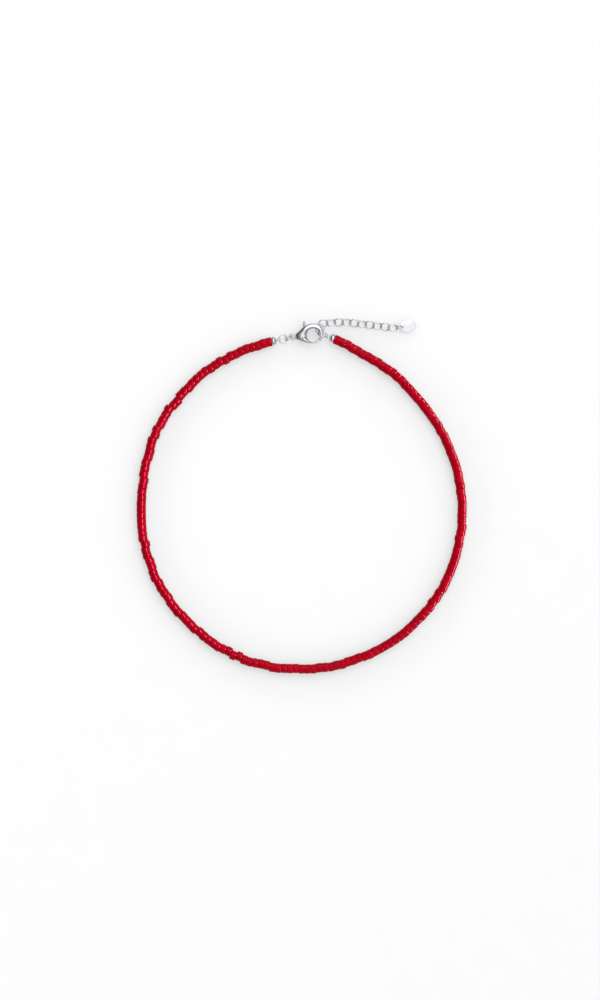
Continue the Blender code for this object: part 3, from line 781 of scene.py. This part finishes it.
def thread_finish():
    """Dark red twisted thread."""
    finish = Finish("thread")
    red = finish.ramp(finish.noise(*THREAD_NOISE), THREAD_REDS)
    finish.join(red, finish.shader.inputs["Base Color"])
    patches = finish.spread(finish.noise(*THREAD_ROUGH_NOISE), *THREAD_ROUGHNESS)
    finish.join(patches, finish.shader.inputs["Roughness"])
    finish.bump(finish.noise(*THREAD_TWIST_NOISE), *THREAD_TWIST)
    return finish.material


def silver_finish(name, light, dark, roughness, scratch):
    """Polished plating with handling marks and a little dullness in patches."""
    finish = Finish(name)
    colours = zip(SILVER_DULL_RANGE, (dark, light))
    dull = finish.ramp(finish.noise(*SILVER_DULL_NOISE), list(colours))
    finish.join(dull, finish.shader.inputs["Base Color"])
    patches = finish.spread(finish.noise(*SILVER_ROUGH_NOISE), *roughness)
    finish.join(patches, finish.shader.inputs["Roughness"])
    finish.bump(finish.noise(*SILVER_SCRATCH_NOISE), scratch, SCRATCH_DEPTH)
    finish.shader.inputs["Metallic"].default_value = 1.0
    return finish.material


def floor_finish():
    """White acrylic lit from below a little, so that what lies on it throws only a pale shade."""
    finish = Finish("floor")
    white = finish.ramp(finish.noise(*FLOOR_NOISE), FLOOR_WHITES)
    mirrored = finish.add("ShaderNodeLightPath").outputs["Is Glossy Ray"]
    finish.join(finish.mix(mirrored, white, MIRRORED_FLOOR), finish.shader.inputs["Base Color"])
    patches = finish.spread(finish.noise(*FLOOR_ROUGH_NOISE), *FLOOR_ROUGHNESS)
    finish.join(patches, finish.shader.inputs["Roughness"])
    finish.shader.inputs["Specular IOR Level"].default_value = 0.0
    finish.shader.inputs["Emission Color"].default_value = (1.0, 1.0, 1.0, 1.0)
    finish.shader.inputs["Emission Strength"].default_value = FLOOR_GLOW
    return finish.material


def floor():
    build = bmesh.new()
    half = FLOOR_SIZE / 2
    build.faces.new([build.verts.new(corner) for corner in
                     ((-half, -half, 0), (half, -half, 0), (half, half, 0), (-half, half, 0))])
    item = mesh_object("floor", build, floor_finish())
    return item


class World:
    """The studio's node tree, with short ways to read a direction and mix its levels."""

    def __init__(self):
        world = bpy.data.worlds.new("studio")
        bpy.context.scene.world = world
        world.use_nodes = True
        self.tree = world.node_tree
        self.background = self.tree.nodes["Background"]
        place = self.tree.nodes.new("ShaderNodeTexCoord").outputs["Generated"]
        self.axes = self.tree.nodes.new("ShaderNodeSeparateXYZ").outputs
        self.tree.links.new(place, self.axes[0].node.inputs[0])

    def ramp(self, axis, stops):
        """A grey ramp along an axis from -1 to 1, with stops of (position on the axis, level)."""
        spread = self.tree.nodes.new("ShaderNodeMapRange")
        spread.inputs["From Min"].default_value = -1.0
        self.tree.links.new(self.axes[axis], spread.inputs["Value"])
        node = self.tree.nodes.new("ShaderNodeValToRGB")
        node.color_ramp.interpolation = "EASE"
        elements = node.color_ramp.elements
        while len(elements) < len(stops):
            elements.new(0.5)
        for element, (position, level) in zip(elements, stops):
            element.position = (position + 1) / 2
            element.color = (level, level, level, 1.0)
        self.tree.links.new(spread.outputs["Result"], node.inputs["Fac"])
        return node.outputs["Color"]

    def mix(self, blend, factor, first, second):
        node = self.tree.nodes.new("ShaderNodeMix")
        node.data_type = "RGBA"
        node.blend_type = blend
        sockets = (node.inputs[0], node.inputs[6], node.inputs[7])
        for value, socket in zip((factor, first, second), sockets):
            if isinstance(value, bpy.types.NodeSocket):
                self.tree.links.new(value, socket)
            else:
                socket.default_value = value
        return node.outputs[2]


def studio_world():
    """White walls for the light; what polished metal mirrors is darker low down and on the left."""
    world = World()
    walls = world.ramp("X", WALL_LEVELS)
    height = world.ramp("Z", MIRRORED_HEIGHTS)
    side = world.ramp("X", MIRRORED_SIDES)
    mirrored = world.mix("MULTIPLY", 1.0, height, side)
    mirrored = world.mix("SCREEN", 1.0, mirrored, (*MIRRORED_GLOOM, 1.0))
    glossy = world.tree.nodes.new("ShaderNodeLightPath").outputs["Is Glossy Ray"]
    world.tree.links.new(world.mix("MIX", glossy, walls, mirrored), world.background.inputs["Color"])


def softbox(name, spot, size, power, shows="all", lit=()):
    """A rectangular area light that faces the necklace, unseen itself.

    It shows in diffuse light, in gloss or in all, and lights only the lit pieces if any are named.
    """
    light = bpy.data.lights.new(name, "AREA")
    light.shape = "RECTANGLE"
    light.size, light.size_y = size
    light.energy = power
    item = bpy.data.objects.new(name, light)
    item.location = spot
    item.rotation_mode = "QUATERNION"
    item.rotation_quaternion = (-Vector(spot)).to_track_quat("-Z", "Y")
    item.visible_camera = False
    item.visible_diffuse = shows != "glossy"
    item.visible_glossy = shows != "diffuse"
    bpy.context.scene.collection.objects.link(item)
    if lit:
        group = bpy.data.collections.new(name + "_lit")
        for piece in lit:
            group.objects.link(piece)
        item.light_linking.receiver_collection = group


def lights(ground, beads):
    softbox("top_box", TOP_BOX_SPOT, TOP_BOX_SIZE, TOP_BOX_POWER)
    for side, (slant, size, power) in STREAKS.items():
        angle = math.radians(slant)
        spot = (STREAK_REACH * math.sin(angle), 0, STREAK_REACH * math.cos(angle))
        softbox("streak_" + side, spot, size, power, "glossy", [beads[side]])
    for number in range(LOW_BOXES):
        around = bearing(360.0 * (number + 0.5) / LOW_BOXES, LOW_BOX_REACH)
        spot = (around.x, around.y, LOW_BOX_HEIGHT)
        power = LOW_BOX_POWER * (1 + LOW_BOX_TILT.dot(around) / LOW_BOX_REACH)
        softbox("low_box_%d" % number, spot, LOW_BOX_SIZE, power, "diffuse", [ground])


def camera():
    data = bpy.data.cameras.new("camera")
    data.sensor_width = SENSOR
    data.lens = SENSOR * CAMERA_DISTANCE / VIEW_HEIGHT
    data.clip_end = CAMERA_CLIP
    item = bpy.data.objects.new("camera", data)
    item.location = CAMERA_AIM + Vector((0, 0, CAMERA_DISTANCE))
    bpy.context.scene.collection.objects.link(item)
    bpy.context.scene.camera = item


def necklace():
    """All the pieces; gives back the beads of each side."""
    coral = coral_finish()
    thread = thread_finish()
    cast, wire, plate = [silver_finish(*silver) for silver in SILVERS]
    beads = {}
    for side in ("left", "right"):
        seats = bead_seats("bead_strand_" + side)
        beads[side] = bead_strand(side, seats, coral)
        bead_thread(side, seats, thread)
        bead_tip(side, seats, cast)
    for name in JUMP_RINGS + LINKS:
        wire_ring(name, wire)
    end_tag(plate)
    matrix = clasp_matrix()
    clasp_body(matrix, cast)
    clasp_rivet(matrix, cast)
    clasp_lever(matrix, cast)
    return beads


camera()
ground = floor()
studio_world()
lights(ground, necklace())
bpy.context.scene.view_settings.view_transform = "Standard"
